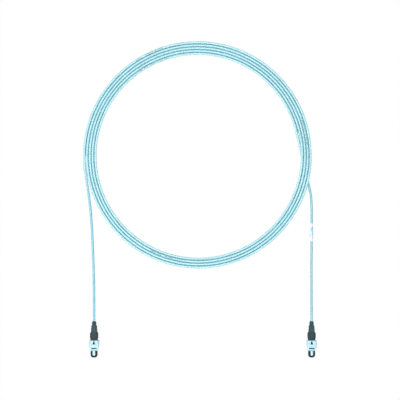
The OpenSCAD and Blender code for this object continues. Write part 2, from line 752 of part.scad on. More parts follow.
module coupling_sleeve() {
    half_w = sleeve_w / 2;
    front_half_w = sleeve_front_w / 2;
    half_t = sleeve_t / 2;
    front_half_t = sleeve_front_t / 2;
    inner_t = housing_t + 2 * slide_fit;
    window_y = sleeve_front_y + window_from_front;
    color(aqua_colour) difference() {
        intersection() {
            bar(sleeve_front_y, sleeve_rear_y) rounded_rect(sleeve_w, sleeve_t, sleeve_corner);
            plan_cut([
                [half_w - 2 * bevel, sleeve_rear_y], [half_w, sleeve_rear_y - 2 * bevel],
                [half_w, sleeve_rear_y - sleeve_wide_l], [front_half_w, sleeve_front_y + 2 * bevel],
                [front_half_w - bevel, sleeve_front_y]
            ]);
            side_cut([
                [sleeve_rear_y, half_t - bevel], [sleeve_rear_y - bevel, half_t],
                [sleeve_rear_y - 1.4 * sleeve_wide_l, half_t],
                [sleeve_front_y + 2 * bevel, front_half_t], [sleeve_front_y, front_half_t - bevel]
            ]);
        }
        box_bar(housing_w + 2 * slide_fit, inner_t, sleeve_narrow_y, sleeve_rear_y + through);
        box_bar(front_w + 2 * slide_fit, inner_t, sleeve_front_y - through, sleeve_narrow_y + through);
        both_sides() {
            translate([channel_x, 0, 0]) rod(channel_d, channel_front_y, sleeve_rear_y - sleeve_lip);
            translate([0, channel_front_y, -web_h / 2 - slide_fit])
                cube([channel_x, sleeve_rear_y - sleeve_lip - channel_front_y, web_h + 2 * slide_fit]);
        }
        top_and_bottom() translate([-window_w / 2, window_y - window_l / 2, 0])
            cube([window_w, window_l, sleeve_t]);
        thumb_recess();
        translate([0, 0, half_t - 2 * recess_depth]) linear_extrude(height = sleeve_t) arrow();
    }
}

// A shallow step down at the sleeve's rear edge, with an arched front
module thumb_recess() {
    arch = 0.7;
    front_y = sleeve_rear_y - recess_l;
    arc = [
        for (i = [0 : 10])
            let (x = recess_w * (i / 10 - 0.5))
            [x, front_y + arch * pow(2 * x / recess_w, 2) - arch / 2]
    ];
    translate([0, 0, sleeve_t / 2 - recess_depth]) linear_extrude(height = sleeve_t)
        polygon(concat(arc, [for (side = [1, -1]) [side * recess_w / 2, sleeve_rear_y + through]]));
}

// A triangle that points to the cord
module arrow() {
    base_y = sleeve_rear_y - recess_l + bevel;
    polygon([[-arrow_w / 2, base_y], [arrow_w / 2, base_y], [0, base_y + arrow_l]]);
}

module dust_cap() {
    slot_r = key_w / 2 + key_fit;
    slot_end_y = key_front_y - key_fit;
    nose_room_y = nose_front_y - slide_fit;
    color(black_colour) difference() {
        intersection() {
            bar(cap_front_y, cap_rear_y) rounded_rect(cap_w, cap_t, 3 * bevel);
            plan_cut(nose_plan(cap_w / 2, cap_front_y, cap_corner));
        }
        intersection() {
            box_bar(nose_w + 2 * slide_fit, nose_t + 2 * slide_fit, nose_room_y, cap_rear_y + through);
            plan_cut(nose_plan(nose_w / 2 + slide_fit, nose_room_y, nose_corner));
        }
        box_bar(cap_room_w, ferrule_t + 4 * slide_fit, cap_inner_y, nose_front_y);
        translate([0, slot_end_y + slot_r, 0]) cylinder(r = slot_r, h = cap_t);
        translate([-slot_r, slot_end_y + slot_r, 0]) cube([2 * slot_r, cap_rear_y - slot_end_y, cap_t]);
    }
}

// ---- Assembly ----

cable_coil();
cable_tail(tail_a_path);  // cable_tail_a
cable_tail(tail_b_path);  // cable_tail_b
label();

at_end(-1) boot();  // boot_a
at_end(-1) crimp_ring();  // crimp_ring_a
at_end(-1) rear_body();  // rear_body_a
at_end(-1) inner_housing();  // inner_housing_a
at_end(-1) key_insert();  // key_insert_a
at_end(-1) ferrule();  // ferrule_a
at_end(-1) pin_keeper();  // pin_keeper_a
at_end(-1) ferrule_boot();  // ferrule_boot_a
at_end(-1) fibre_ribbon();  // fibre_ribbon_a
at_end(-1) main_spring();  // main_spring_a
at_end(-1) sleeve_springs();  // sleeve_springs_a
at_end(-1) coupling_sleeve();  // coupling_sleeve_a
at_end(-1) dust_cap();  // dust_cap_a

at_end(1) boot();  // boot_b
at_end(1) crimp_ring();  // crimp_ring_b
at_end(1) rear_body();  // rear_body_b
at_end(1) inner_housing();  // inner_housing_b
at_end(1) key_insert();  // key_insert_b
at_end(1) ferrule();  // ferrule_b
at_end(1) pin_keeper();  // pin_keeper_b
at_end(1) ferrule_boot();  // ferrule_boot_b
at_end(1) fibre_ribbon();  // fibre_ribbon_b
at_end(1) main_spring();  // main_spring_b
at_end(1) sleeve_springs();  // sleeve_springs_b
at_end(1) coupling_sleeve();  // coupling_sleeve_b
at_end(1) dust_cap();  // dust_cap_b
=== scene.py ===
"""Looks of a fibre patch cord: one round jacketed cord wound in a flat coil, two push-pull
connectors with dust caps, and a wrapped label. Sizes in millimetres are turned to metres by MM."""

import math

import bpy
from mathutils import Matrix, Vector


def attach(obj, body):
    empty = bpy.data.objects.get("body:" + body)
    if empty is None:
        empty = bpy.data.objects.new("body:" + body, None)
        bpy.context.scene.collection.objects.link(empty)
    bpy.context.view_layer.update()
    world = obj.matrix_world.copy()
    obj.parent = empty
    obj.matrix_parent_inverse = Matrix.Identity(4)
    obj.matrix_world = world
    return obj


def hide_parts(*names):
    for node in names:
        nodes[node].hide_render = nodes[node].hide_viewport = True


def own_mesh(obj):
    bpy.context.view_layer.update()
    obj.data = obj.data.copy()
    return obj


MM = 0.001
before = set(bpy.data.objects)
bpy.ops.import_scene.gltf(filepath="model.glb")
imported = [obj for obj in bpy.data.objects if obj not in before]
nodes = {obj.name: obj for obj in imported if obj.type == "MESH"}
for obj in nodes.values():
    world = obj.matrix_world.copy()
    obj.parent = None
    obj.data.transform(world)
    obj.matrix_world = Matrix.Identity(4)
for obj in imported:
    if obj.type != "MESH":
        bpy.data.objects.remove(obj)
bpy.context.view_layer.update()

# Connector axes
SPACING = 267
AXIS_Z = 3.9
BOOT_END_Y = 22.1
JACKET_END_Y = 14.4

# Cord route, as the part's source gives it
CORD_R = 1.5
COIL_R = 140
COIL_X, COIL_Y = -6, 225.7
TURN_GAP = 0.42
LEAVE_OUTER, LEAVE_INNER = 9, 13
TURNS = 4
UNDER_RUN = 70
HUMP_H = 3.6
HUMP_HALF = 50
# Degrees between the rings of a turn in the part's source
LOOP_STEP = 15
PITCH = (2 * CORD_R + TURN_GAP) / math.cos(math.radians(LOOP_STEP / 2))
ROUTE_STEP, RUN_STEP = 2.5, 10
CORD_SIDES = 20
WIND_END = 360 * TURNS + 180 - LEAVE_INNER
TAIL_A = [
    (-142.5, 191, 1.5), (-141.2, 183, 1.5), (-140.1, 175, 1.5), (-139.1, 167, 1.5),
    (-138.2, 159, 1.5), (-137.5, 151, 1.5), (-136.9, 143, 1.5), (-136.4, 135, 1.5),
    (-136, 127, 1.5), (-135.6, 119, 1.5), (-135.3, 111, 1.5), (-135, 103, 1.5),
    (-134.7, 95, 1.6), (-134.4, 87, 1.7), (-134.2, 79, 1.9), (-134, 71, 2.1),
    (-133.8, 63, 2.4), (-133.7, 55, 2.8), (-133.6, 47, 3.2), (-133.5, 39, 3.6),
    (-133.5, 31, 3.85), (-133.5, 24, 3.9), (-133.5, JACKET_END_Y, 3.9),
]
TAIL_B = [
    (132.9, 176, 1.5), (133.5, 169, 1.5), (133.8, 161, 1.5), (133.9, 153, 1.6),
    (133.8, 146, 1.7), (133.8, 139, 1.7), (133.8, 132, 1.7), (133.8, 125, 1.7),
    (133.8, 117, 1.7), (133.7, 109, 1.7), (133.6, 101, 1.7), (133.5, 93, 1.8),
    (133.5, 85, 1.9), (133.5, 77, 2), (133.5, 69, 2.2), (133.5, 61, 2.5),
    (133.5, 53, 2.9), (133.5, 45, 3.3), (133.5, 38, 3.6), (133.5, 31, 3.85),
    (133.5, 24, 3.9), (133.5, JACKET_END_Y, 3.9),
]

# Label
LABEL_X, LABEL_Y, LABEL_Z = 133.8, 131.5, 1.7
LABEL_L = 22
LABEL_R, LABEL_BORE_R = 1.7, 1.55
FIN, FILM = 1, 0.15
LABEL_SIDES = 48

# Connector pieces about the connector's axis, on which Y runs to the cord. W and H are half widths
# and half heights. A slope joins two places, each a distance from the axis and a Y.
BOOT_FLAT_H = 2.9
BOOT_FLAT_EDGE_R, BOOT_FLAT_EDGES_Y = 0.35, (8.65, 17)
CORD_WAY_R, CRIMP_ROOM_R, CRIMP_ROOM_END_Y = 1.6, 2.2, 17.15
REAR_W, REAR_H = 5, 3.4
REAR_FLAT_W, REAR_SIDE_H = 2.3, 1.6
REAR_FRONT_Y, REAR_END_Y = 0.7, 8.6
REAR_SLOPES = (
    ((4.2, REAR_END_Y), (4.7, 8.15)), ((4.7, 8.15), (REAR_W, 7.7)),
    ((REAR_W, 2.3), (4.7, REAR_FRONT_Y)),
)
NECK_W, NECK_H, NECK_FRONT_Y = 3.65, 1.65, -3.4
CHAMBER_W, CHAMBER_H, CHAMBER_END_Y = 1.78, 0.95, 7.6
SPIGOT_R, SPIGOT_BORE_R = 1.4, 0.95
BARB_R, BARB_L, BARBS_Y = 1.48, 0.5, (10.05, 11.5, 12.95)
LATCH_W, LATCH_Y, LATCH_FOOT_Z, LATCH_TOP_Z = 1.5, (-2.2, -1.2), 1.2, 2.1
SLEEVE_W, SLEEVE_H, SLEEVE_CORNER = 6.2, 3.9, 2
SLEEVE_FRONT_Y, SLEEVE_REAR_Y = -13.6, -1.2
SLEEVE_SIDE_SLOPES = (
    ((SLEEVE_W, -6.2), (4.7, -13)), ((5.6, SLEEVE_REAR_Y), (SLEEVE_W, -1.8)),
    ((4.7, -13), (4.4, SLEEVE_FRONT_Y)),
)
SLEEVE_TOP_SLOPES = (
    ((SLEEVE_H, -8.2), (3.4, -13)), ((3.4, -13), (3.1, SLEEVE_FRONT_Y)),
    ((3.6, SLEEVE_REAR_Y), (SLEEVE_H, -1.5)),
)
ROOM_W, FRONT_ROOM_W, ROOM_H, ROOM_FRONT_Y = 4.4, 4.1, 2.7, -10
CHANNEL_X, CHANNEL_R, CHANNEL_Y, EAR_WAY_H = 5.1, 0.75, (-6.4, -1.6), 0.5
WINDOW_W, WINDOW_Y = 3.3, (-11.5, -10.1)
RECESS_W, RECESS_R, RECESS_CENTRE_Y, RECESS_FLOOR_Z = 3.7, 10.13, 3.98, 3.55
GROOVE_INNER_R, GROOVE_FLOOR_Z = 9.55, 3.15
RECESS_SIDES = 256
ARROW_BASE_Y, ARROW_TIP_Y, ARROW_BASE_W, ARROW_TIP_W = -5.8, -1.3, 1.45, 0.4
ARROW_FLOOR_Z, ARROW_TOP_Z = 3.2, 3.5
GRIP_LINES_Y, GRIP_LINE_W, GRIP_LINE_L, GRIP_LINE_FLOOR_Z = (-8.5, -9.5), 3.4, 0.18, 3.74
CAP_W, CAP_H, CAP_CORNER, CAP_EDGE_R = 4.15, 2.8, 3.2, 0.7
CAP_FRONT_Y, CAP_REAR_Y = -22.1, -15.1
NOSE_ROOM_W, NOSE_ROOM_H, NOSE_ROOM_FRONT_Y, NOSE_ROOM_CORNER = 3.85, 2.4, -19.8, 1.2
FERRULE_ROOM_W, FERRULE_ROOM_H, FERRULE_ROOM_FRONT_Y = 3.3, 1.45, -20.7
KEY_SLOT_R, KEY_SLOT_Y = 1.65, -18.3
FIBRES, FIBRE_R, FIBRE_PITCH, FIBRE_Y = 12, 0.0625, 0.25, (-20.412, -19.9)
# Springs: full widths and heights, and the two seats
MAIN_SPRING_SIZE, MAIN_WIRE, MAIN_CURLS, MAIN_SEATS_Y = (6.6, 2.9), 0.45, 6, (-11, -3.4)
SMALL_SPRING_SIZE, SMALL_WIRE, SMALL_CURLS, SMALL_SEATS_Y = (1.3, 1.3), 0.22, 5, (-6.4, -2.5)
SEAT_GAP, CURL_STEPS, WIRE_SIDES = 0.05, 28, 10


# ---- Working with objects ----


def drop_selection():
    if bpy.context.mode != "OBJECT":
        bpy.ops.object.mode_set(mode="OBJECT")
    bpy.ops.object.select_all(action="DESELECT")


def pick(piece):
    drop_selection()
    piece.select_set(True)
    bpy.context.view_layer.objects.active = piece


def settle(piece):
    """Puts the piece's place into its mesh."""
    pick(piece)
    bpy.ops.object.transform_apply(location=True, rotation=True, scale=True)


def both(half):
    """The two ends of a length that lies evenly about 0."""
    return -half, half


def block(name, x, y, z):
    """A box between pairs of places on X, Y and Z, in millimetres."""
    drop_selection()
    size = [abs(p[1] - p[0]) * MM for p in (x, y, z)]
    bpy.ops.mesh.primitive_cube_add(size=1, location=[sum(p) / 2 * MM for p in (x, y, z)], scale=size)
    piece = bpy.context.object
    piece.name = name
    settle(piece)
    return piece


def rod(name, r, y, x=0, z=0, sides=64):
    """A round bar along Y."""
    drop_selection()
    bpy.ops.mesh.primitive_cylinder_add(
        vertices=sides, radius=r * MM, depth=abs(y[1] - y[0]) * MM,
        location=(x * MM, sum(y) / 2 * MM, z * MM), rotation=(math.pi / 2, 0, 0))
    piece = bpy.context.object
    piece.name = name
    settle(piece)
    return piece


def post(name, r, z, x=0, y=0, sides=96):
    """A round bar along Z."""
    drop_selection()
    bpy.ops.mesh.primitive_cylinder_add(
        vertices=sides, radius=r * MM, depth=abs(z[1] - z[0]) * MM,
        location=(x * MM, y * MM, sum(z) / 2 * MM))
    piece = bpy.context.object
    piece.name = name
    settle(piece)
    return piece


def trim(piece, point, normal):
    """Cuts off what lies beyond a plane and closes the cut."""
    pick(piece)
    bpy.ops.object.mode_set(mode="EDIT")
    bpy.ops.mesh.select_all(action="SELECT")
    bpy.ops.mesh.bisect(plane_co=[p * MM for p in point], plane_no=Vector(normal).normalized(),
                        use_fill=True, clear_outer=True, threshold=0.001 * MM)
    bpy.ops.object.mode_set(mode="OBJECT")


def slant(piece, axis, side, start, end):
    """Cuts off what lies outside a slope on one side of an axis, 0 for X and 2 for Z."""
    (out, y), (end_out, end_y) = start, end
    point, normal = [0, y, 0], [0, math.copysign(1, y - end_y) * (end_out - out), 0]
    point[axis] = out * side
    normal[axis] = abs(end_y - y) * side
    trim(piece, point, normal)


def round_edges(piece, wanted, r, segments):
    """Rounds the edges whose two ends satisfy wanted(a, b), ends in millimetres."""
    pick(piece)
    mesh = piece.data
    bpy.ops.object.mode_set(mode="EDIT")
    bpy.ops.mesh.select_all(action="DESELECT")
    bpy.ops.mesh.select_mode(type="EDGE")
    bpy.ops.object.mode_set(mode="OBJECT")
    for edge in mesh.edges:
        a, b = (mesh.vertices[i].co / MM for i in edge.vertices)
        edge.select = wanted(a, b)
    bpy.ops.object.mode_set(mode="EDIT")
    bpy.ops.mesh.bevel(offset=r * MM, segments=segments, profile=0.5, clamp_overlap=False)
    bpy.ops.object.mode_set(mode="OBJECT")


def apply_all(piece):
    pick(piece)
    for m in list(piece.modifiers):
        bpy.ops.object.modifier_apply(modifier=m.name)


def shape_with(piece, other, operation):
    m = piece.modifiers.new("shape", "BOOLEAN")
    m.operation = operation
    m.solver = "EXACT"
    m.object = other
    apply_all(piece)
    bpy.data.objects.remove(other, do_unlink=True)
    return piece


def cut(piece, *cutters):
    for c in cutters:
        shape_with(piece, c, "DIFFERENCE")
    return piece


def add(piece, *others):
    for o in others:
        shape_with(piece, o, "UNION")
    return piece


def soften(piece, width=0, segments=2, angle=28):
    """Small rounded edges of a width, as a moulded piece has, and smooth shading between them."""
    pick(piece)
    bpy.ops.object.mode_set(mode="EDIT")
    bpy.ops.mesh.select_all(action="SELECT")
    bpy.ops.mesh.remove_doubles(threshold=0.002 * MM)
    bpy.ops.mesh.dissolve_limited(angle_limit=math.radians(1))
    bpy.ops.object.mode_set(mode="OBJECT")
    if width:
        m = piece.modifiers.new("edges", "BEVEL")
        m.width = width * MM
        m.segments = segments
        m.limit_method = "ANGLE"
        m.angle_limit = math.radians(angle)
        m.harden_normals = False
        apply_all(piece)
    bpy.ops.object.shade_smooth_by_angle(angle=math.radians(32))
    return piece


def move_mesh(piece, x, y, z):
    for v in piece.data.vertices:
        v.co += Vector((x, y, z)) * MM
    piece.data.update()


def dress(piece, material, slot, body, *replaced):
    piece.data.materials.clear()
    piece.data.materials.append(material)
    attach(piece, body)
    if replaced:
        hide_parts(*replaced)
    return piece


def mesh_piece(name, points, faces):
    mesh = bpy.data.meshes.new(name)
    mesh.from_pydata(points, [], faces)
    piece = bpy.data.objects.new(name, mesh)
    bpy.context.scene.collection.objects.link(piece)
    return piece


# ---- Camera, light and floor ----

SIGHT_X, SIGHT_Y = -3.51, 171.06
FIELD = 491.2
LENS, SENSOR = 100, 36

AMBIENT = 0.36
FLOOR_SIZE, FLOOR_WHITE, FLOOR_GLOW = 6, 0.97, 0.97
# Painted shade: a dark teal on the floor between the coil's turns, for the shadow and bounce light in
# the gaps
PAINTED_GAP_SHADE = (0.30, 0.62, 0.70)
ROOM_DARK, ROOM_LOW, ROOM_HIGH = 0.12, 0.15, 0.85
OVERHEAD_PLACE, OVERHEAD_SIZE, OVERHEAD_POWER = (-0.4, -0.05, 1.8), 1.8, 30


def maths_in(tree):
    """A function that adds a sum to a material's nodes and gives its outcome."""
    def maths(operation, *values):
        node = tree.nodes.new("ShaderNodeMath")
        node.operation = operation
        for socket, value in zip(node.inputs, values):
            if isinstance(value, (int, float)):
                socket.default_value = value
            else:
                tree.links.new(value, socket)
        return node.outputs[0]

    return maths


def axes_of(tree, kind="Object"):
    """The X, Y and Z of a place on a piece, or with Generated of a direction in the room."""
    place = tree.nodes.new("ShaderNodeTexCoord")
    parts = tree.nodes.new("ShaderNodeSeparateXYZ")
    tree.links.new(place.outputs[kind], parts.inputs[0])
    return parts.outputs


def fade(tree, value, start, end, least=0):
    """A smooth step from least to 1, as a value goes from start to end."""
    node = tree.nodes.new("ShaderNodeMapRange")
    node.interpolation_type = "SMOOTHSTEP"
    node.inputs["From Min"].default_value = start
    node.inputs["From Max"].default_value = end
    node.inputs["To Min"].default_value = least
    tree.links.new(value, node.inputs["Value"])
    return node.outputs["Result"]


def set_camera():
    data = bpy.data.cameras.new("camera")
    data.lens = LENS
    data.sensor_width = SENSOR
    camera = bpy.data.objects.new("camera", data)
    camera.location = (SIGHT_X * MM, SIGHT_Y * MM, (FIELD * LENS / SENSOR + AXIS_Z) * MM)
    bpy.context.scene.collection.objects.link(camera)
    bpy.context.scene.camera = camera


def set_light():
    """An even room, which reflections see dark near the floor and light above, and one large lamp."""
    world = bpy.data.worlds.new("studio")
    bpy.context.scene.world = world
    world.use_nodes = True
    tree = world.node_tree
    tree.nodes.clear()
    out = tree.nodes.new("ShaderNodeOutputWorld")
    height = fade(tree, axes_of(tree, "Generated")["Z"], ROOM_LOW, ROOM_HIGH, ROOM_DARK)
    path = tree.nodes.new("ShaderNodeLightPath")

    soft = tree.nodes.new("ShaderNodeBackground")
    soft.inputs["Strength"].default_value = AMBIENT
    mirrored = tree.nodes.new("ShaderNodeBackground")
    tree.links.new(height, mirrored.inputs["Strength"])
    seen = tree.nodes.new("ShaderNodeBackground")
    seen.inputs["Strength"].default_value = 1.0
    for sky in (soft, mirrored, seen):
        sky.inputs["Color"].default_value = (1, 1, 1, 1)
    by_gloss = tree.nodes.new("ShaderNodeMixShader")
    tree.links.new(path.outputs["Is Glossy Ray"], by_gloss.inputs["Fac"])
    tree.links.new(soft.outputs[0], by_gloss.inputs[1])
    tree.links.new(mirrored.outputs[0], by_gloss.inputs[2])
    by_eye = tree.nodes.new("ShaderNodeMixShader")
    tree.links.new(path.outputs["Is Camera Ray"], by_eye.inputs["Fac"])
    tree.links.new(by_gloss.outputs[0], by_eye.inputs[1])
    tree.links.new(seen.outputs[0], by_eye.inputs[2])
    tree.links.new(by_eye.outputs[0], out.inputs["Surface"])

    lamp = bpy.data.lights.new("overhead", "AREA")
    lamp.shape = "SQUARE"
    lamp.size = OVERHEAD_SIZE
    lamp.energy = OVERHEAD_POWER
    box = bpy.data.objects.new("overhead", lamp)
    box.location = OVERHEAD_PLACE
    aim = Vector((SIGHT_X * MM, SIGHT_Y * MM, 0)) - Vector(OVERHEAD_PLACE)
    box.rotation_euler = aim.to_track_quat("-Z", "Y").to_euler()
    bpy.context.scene.collection.objects.link(box)


def set_floor():
    """A white floor that glows for the camera. Between the coil's turns it has painted shade, a dark
    jacket-tinted colour for the shadow and bounce light in the gaps.
    """
    drop_selection()
    bpy.ops.mesh.primitive_plane_add(size=FLOOR_SIZE, location=(COIL_X * MM, COIL_Y * MM, 0))
    floor = bpy.context.object
    floor.name = "floor"
    material = bpy.data.materials.new("floor_with_painted_gap_shade")
    material.use_nodes = True
    tree = material.node_tree
    tree.nodes.clear()

    maths = maths_in(tree)
    place = axes_of(tree)
    x, y = place["X"], place["Y"]
    radius = maths("SQRT", maths("ADD", maths("MULTIPLY", x, x), maths("MULTIPLY", y, y)))
    angle = maths("ARCTAN2", y, maths("MULTIPLY", x, -1))
    turn = maths("FRACT", maths("ADD", maths("DIVIDE", angle, 2 * math.pi), 1))
    outward = maths("SUBTRACT", COIL_R * MM, maths("MULTIPLY", turn, PITCH * MM))
    depth = maths("DIVIDE", maths("SUBTRACT", outward, radius), PITCH * MM)
    turns_here = maths("ADD", TURNS - 1, maths("LESS_THAN", turn, WIND_END / 360 - TURNS))
    among = maths("MULTIPLY", maths("GREATER_THAN", depth, 0), maths("LESS_THAN", depth, turns_here))
    path = tree.nodes.new("ShaderNodeLightPath")
    glows = maths("MULTIPLY", maths("SUBTRACT", 1, among),
                  maths("MULTIPLY", path.outputs["Is Camera Ray"], FLOOR_GLOW))

    out = tree.nodes.new("ShaderNodeOutputMaterial")
    matt = tree.nodes.new("ShaderNodeBsdfDiffuse")
    shade = tree.nodes.new("ShaderNodeMix")
    shade.data_type = "RGBA"
    # Painted shade between the coil's turns, where the floor does not glow
    tree.links.new(among, shade.inputs["Factor"])
    shade.inputs["A"].default_value = (FLOOR_WHITE, FLOOR_WHITE, FLOOR_WHITE, 1)
    shade.inputs["B"].default_value = (*PAINTED_GAP_SHADE, 1)
    tree.links.new(shade.outputs["Result"], matt.inputs["Color"])
    glow = tree.nodes.new("ShaderNodeEmission")
    glow.inputs["Strength"].default_value = 1.0
    mix = tree.nodes.new("ShaderNodeMixShader")
    tree.links.new(glows, mix.inputs["Fac"])
    tree.links.new(matt.outputs[0], mix.inputs[1])
    tree.links.new(glow.outputs[0], mix.inputs[2])
    tree.links.new(mix.outputs[0], out.inputs["Surface"])
    floor.data.materials.append(material)


# ---- Finishes ----

# Rows of specks on the jacket, in metres along it and, for V, in turns round it. TOP_V is its top
PRINT_EVERY, PRINT_START, PRINT_L, SPECK_L = 1.11, 1.46, 0.04, 0.0011
TOP_V, PRINT_HALF_V = 0.25, 0.055
SPECKS_MISSING, PRINT_STRENGTH = 0.45, 0.85
PRINT_COLOUR = (0.05, 0.16, 0.22)
# Where the coil's colour turns to the tails' painted shade, a deeper aqua for the weaker highlight on
# the lone tails, in metres along the cord
TAIL_FADES = ((0.22, 0.15), (3.93, 4.0))
TAIL_PAINTED_SHADE = (0.16, 0.56, 0.69)
# Blocks of colour on the label, in millimetres from its middle. Fewer are missing beyond FULLER_FROM_X
BLOCKS_HALF_L, BLOCK_W, BLOCK_L = 6.8, 1.1, 1.7
FULLER_FROM_X, MISSING_LEFT, MISSING_RIGHT = -0.4, 0.62, 0.12
BLOCK_STRENGTH = 0.9
BLOCK_COLOUR = (0.22, 0.72, 0.95)
# Painted shade: the rear body is a darker, browner black in front of this Y, where its neck lies in
# shadow
PAINTED_SHADE_TO_Y, PAINTED_SHADE_BROWN = 1.3, (0.038, 0.042, 0.040)


def finish_of(name, colour, rough, metal=0.0, coat=0.0, mottle=0.06, mottle_scale=260, grain=0.05,
              grain_scale=6000, rough_spread=0.08, shine=0.5, coat_ior=1.5, coat_rough=0.2):
    """A procedural finish: colour that drifts a little, uneven gloss, and a fine moulded grain."""
    material = bpy.data.materials.new(name)
    material.use_nodes = True
    tree = material.node_tree
    shader = tree.nodes["Principled BSDF"]
    shader.inputs["Metallic"].default_value = metal
    shader.inputs["Coat Weight"].default_value = coat
    shader.inputs["Coat Roughness"].default_value = coat_rough
    shader.inputs["Coat IOR"].default_value = coat_ior
    shader.inputs["Specular IOR Level"].default_value = shine
    place = tree.nodes.new("ShaderNodeTexCoord")

    drift = tree.nodes.new("ShaderNodeTexNoise")
    drift.inputs["Scale"].default_value = mottle_scale
    drift.inputs["Detail"].default_value = 4
    shades = tree.nodes.new("ShaderNodeValToRGB")
    low = [c * (1 - mottle) for c in colour]
    high = [min(1, c * (1 + mottle)) for c in colour]
    shades.color_ramp.elements[0].position = 0.3
    shades.color_ramp.elements[0].color = (*low, 1)
    shades.color_ramp.elements[1].position = 0.7
    shades.color_ramp.elements[1].color = (*high, 1)
    tree.links.new(place.outputs["Object"], drift.inputs["Vector"])
    tree.links.new(drift.outputs["Fac"], shades.inputs["Fac"])
    tree.links.new(shades.outputs["Color"], shader.inputs["Base Color"])

    gloss = tree.nodes.new("ShaderNodeMapRange")
    gloss.inputs["To Min"].default_value = max(0.02, rough - rough_spread)
    gloss.inputs["To Max"].default_value = min(1, rough + rough_spread)
    tree.links.new(drift.outputs["Fac"], gloss.inputs["Value"])
    tree.links.new(gloss.outputs["Result"], shader.inputs["Roughness"])

    fine = tree.nodes.new("ShaderNodeTexNoise")
    fine.inputs["Scale"].default_value = grain_scale
    fine.inputs["Detail"].default_value = 2
    bump = tree.nodes.new("ShaderNodeBump")
    bump.inputs["Strength"].default_value = grain
    bump.inputs["Distance"].default_value = 0.02 * MM
    tree.links.new(place.outputs["Object"], fine.inputs["Vector"])
    tree.links.new(fine.outputs["Fac"], bump.inputs["Height"])
    tree.links.new(bump.outputs["Normal"], shader.inputs["Normal"])
    return material


def tint_where(material, mask, colour):
    """Puts another colour on a finish where a mask is 1."""
    tree = material.node_tree
    base = tree.nodes["Principled BSDF"].inputs["Base Color"]
    mix = tree.nodes.new("ShaderNodeMix")
    mix.data_type = "RGBA"
    tree.links.new(mask, mix.inputs["Factor"])
    tree.links.new(base.links[0].from_socket, mix.inputs["A"])
    mix.inputs["B"].default_value = (*colour, 1)
    tree.links.new(mix.outputs["Result"], base)
    return material


def chance(tree, column, row=None):
    """A number from 0 to 1 for each cell of a grid, the same each run."""
    cell = tree.nodes.new("ShaderNodeCombineXYZ")
    tree.links.new(column, cell.inputs["X"])
    if row is not None:
        tree.links.new(row, cell.inputs["Y"])
    noise = tree.nodes.new("ShaderNodeTexWhiteNoise")
    noise.noise_dimensions = "3D"
    tree.links.new(cell.outputs[0], noise.inputs["Vector"])
    return noise.outputs["Value"]


def jacket_print(material):
    """Short rows of plain specks along the top of the cord, from its UV map."""
    tree = material.node_tree
    maths = maths_in(tree)
    along = tree.nodes.new("ShaderNodeUVMap")
    along.uv_map = "UVMap"
    parts = tree.nodes.new("ShaderNodeSeparateXYZ")
    tree.links.new(along.outputs["UV"], parts.inputs[0])
    u, v = parts.outputs["X"], parts.outputs["Y"]
    row = maths("FRACT", maths("DIVIDE", maths("ADD", u, PRINT_EVERY - PRINT_START), PRINT_EVERY))
    in_row = maths("LESS_THAN", row, PRINT_L / PRINT_EVERY)
    on_top = maths("LESS_THAN", maths("ABSOLUTE", maths("SUBTRACT", v, TOP_V)), PRINT_HALF_V)
    speck = chance(tree, maths("FLOOR", maths("DIVIDE", u, SPECK_L)))
    printed = maths("GREATER_THAN", speck, SPECKS_MISSING)
    mask = maths("MULTIPLY", maths("MULTIPLY", in_row, on_top),
                 maths("MULTIPLY", printed, PRINT_STRENGTH))
    # Painted shade: the lone tails get a deeper aqua than the coil, for their weaker highlight
    tails = [fade(tree, u, coil_side, tail_side) for coil_side, tail_side in TAIL_FADES]
    tint_where(material, maths("MAXIMUM", *tails), TAIL_PAINTED_SHADE)
    return tint_where(material, mask, PRINT_COLOUR)


def label_print(material):
    """Plain blocks of colour on the label's upper side, fuller on its right."""
    tree = material.node_tree
    maths = maths_in(tree)
    place = axes_of(tree)
    x = maths("DIVIDE", maths("SUBTRACT", place["X"], LABEL_X * MM), MM)
    y = maths("DIVIDE", maths("SUBTRACT", place["Y"], LABEL_Y * MM), MM)
    in_length = maths("LESS_THAN", maths("ABSOLUTE", y), BLOCKS_HALF_L)
    on_top = maths("GREATER_THAN", place["Z"], LABEL_Z * MM)
    right = maths("GREATER_THAN", x, FULLER_FROM_X)
    missing = maths("SUBTRACT", MISSING_LEFT, maths("MULTIPLY", right, MISSING_LEFT - MISSING_RIGHT))
    cell = chance(tree, maths("FLOOR", maths("DIVIDE", x, BLOCK_W)),
                  maths("FLOOR", maths("DIVIDE", y, BLOCK_L)))
    block_here = maths("GREATER_THAN", cell, missing)
    mask = maths("MULTIPLY", maths("MULTIPLY", in_length, on_top),
                 maths("MULTIPLY", block_here, BLOCK_STRENGTH))
    return tint_where(material, mask, BLOCK_COLOUR)


def neck_painted_shade(material):
    """Painted shade: the rear body's neck and front edge, in shadow before the sleeve, are a darker,
    browner black than the rest of it.
    """
    tree = material.node_tree
    mask = maths_in(tree)("LESS_THAN", axes_of(tree)["Y"], PAINTED_SHADE_TO_Y * MM)
    return tint_where(material, mask, PAINTED_SHADE_BROWN)


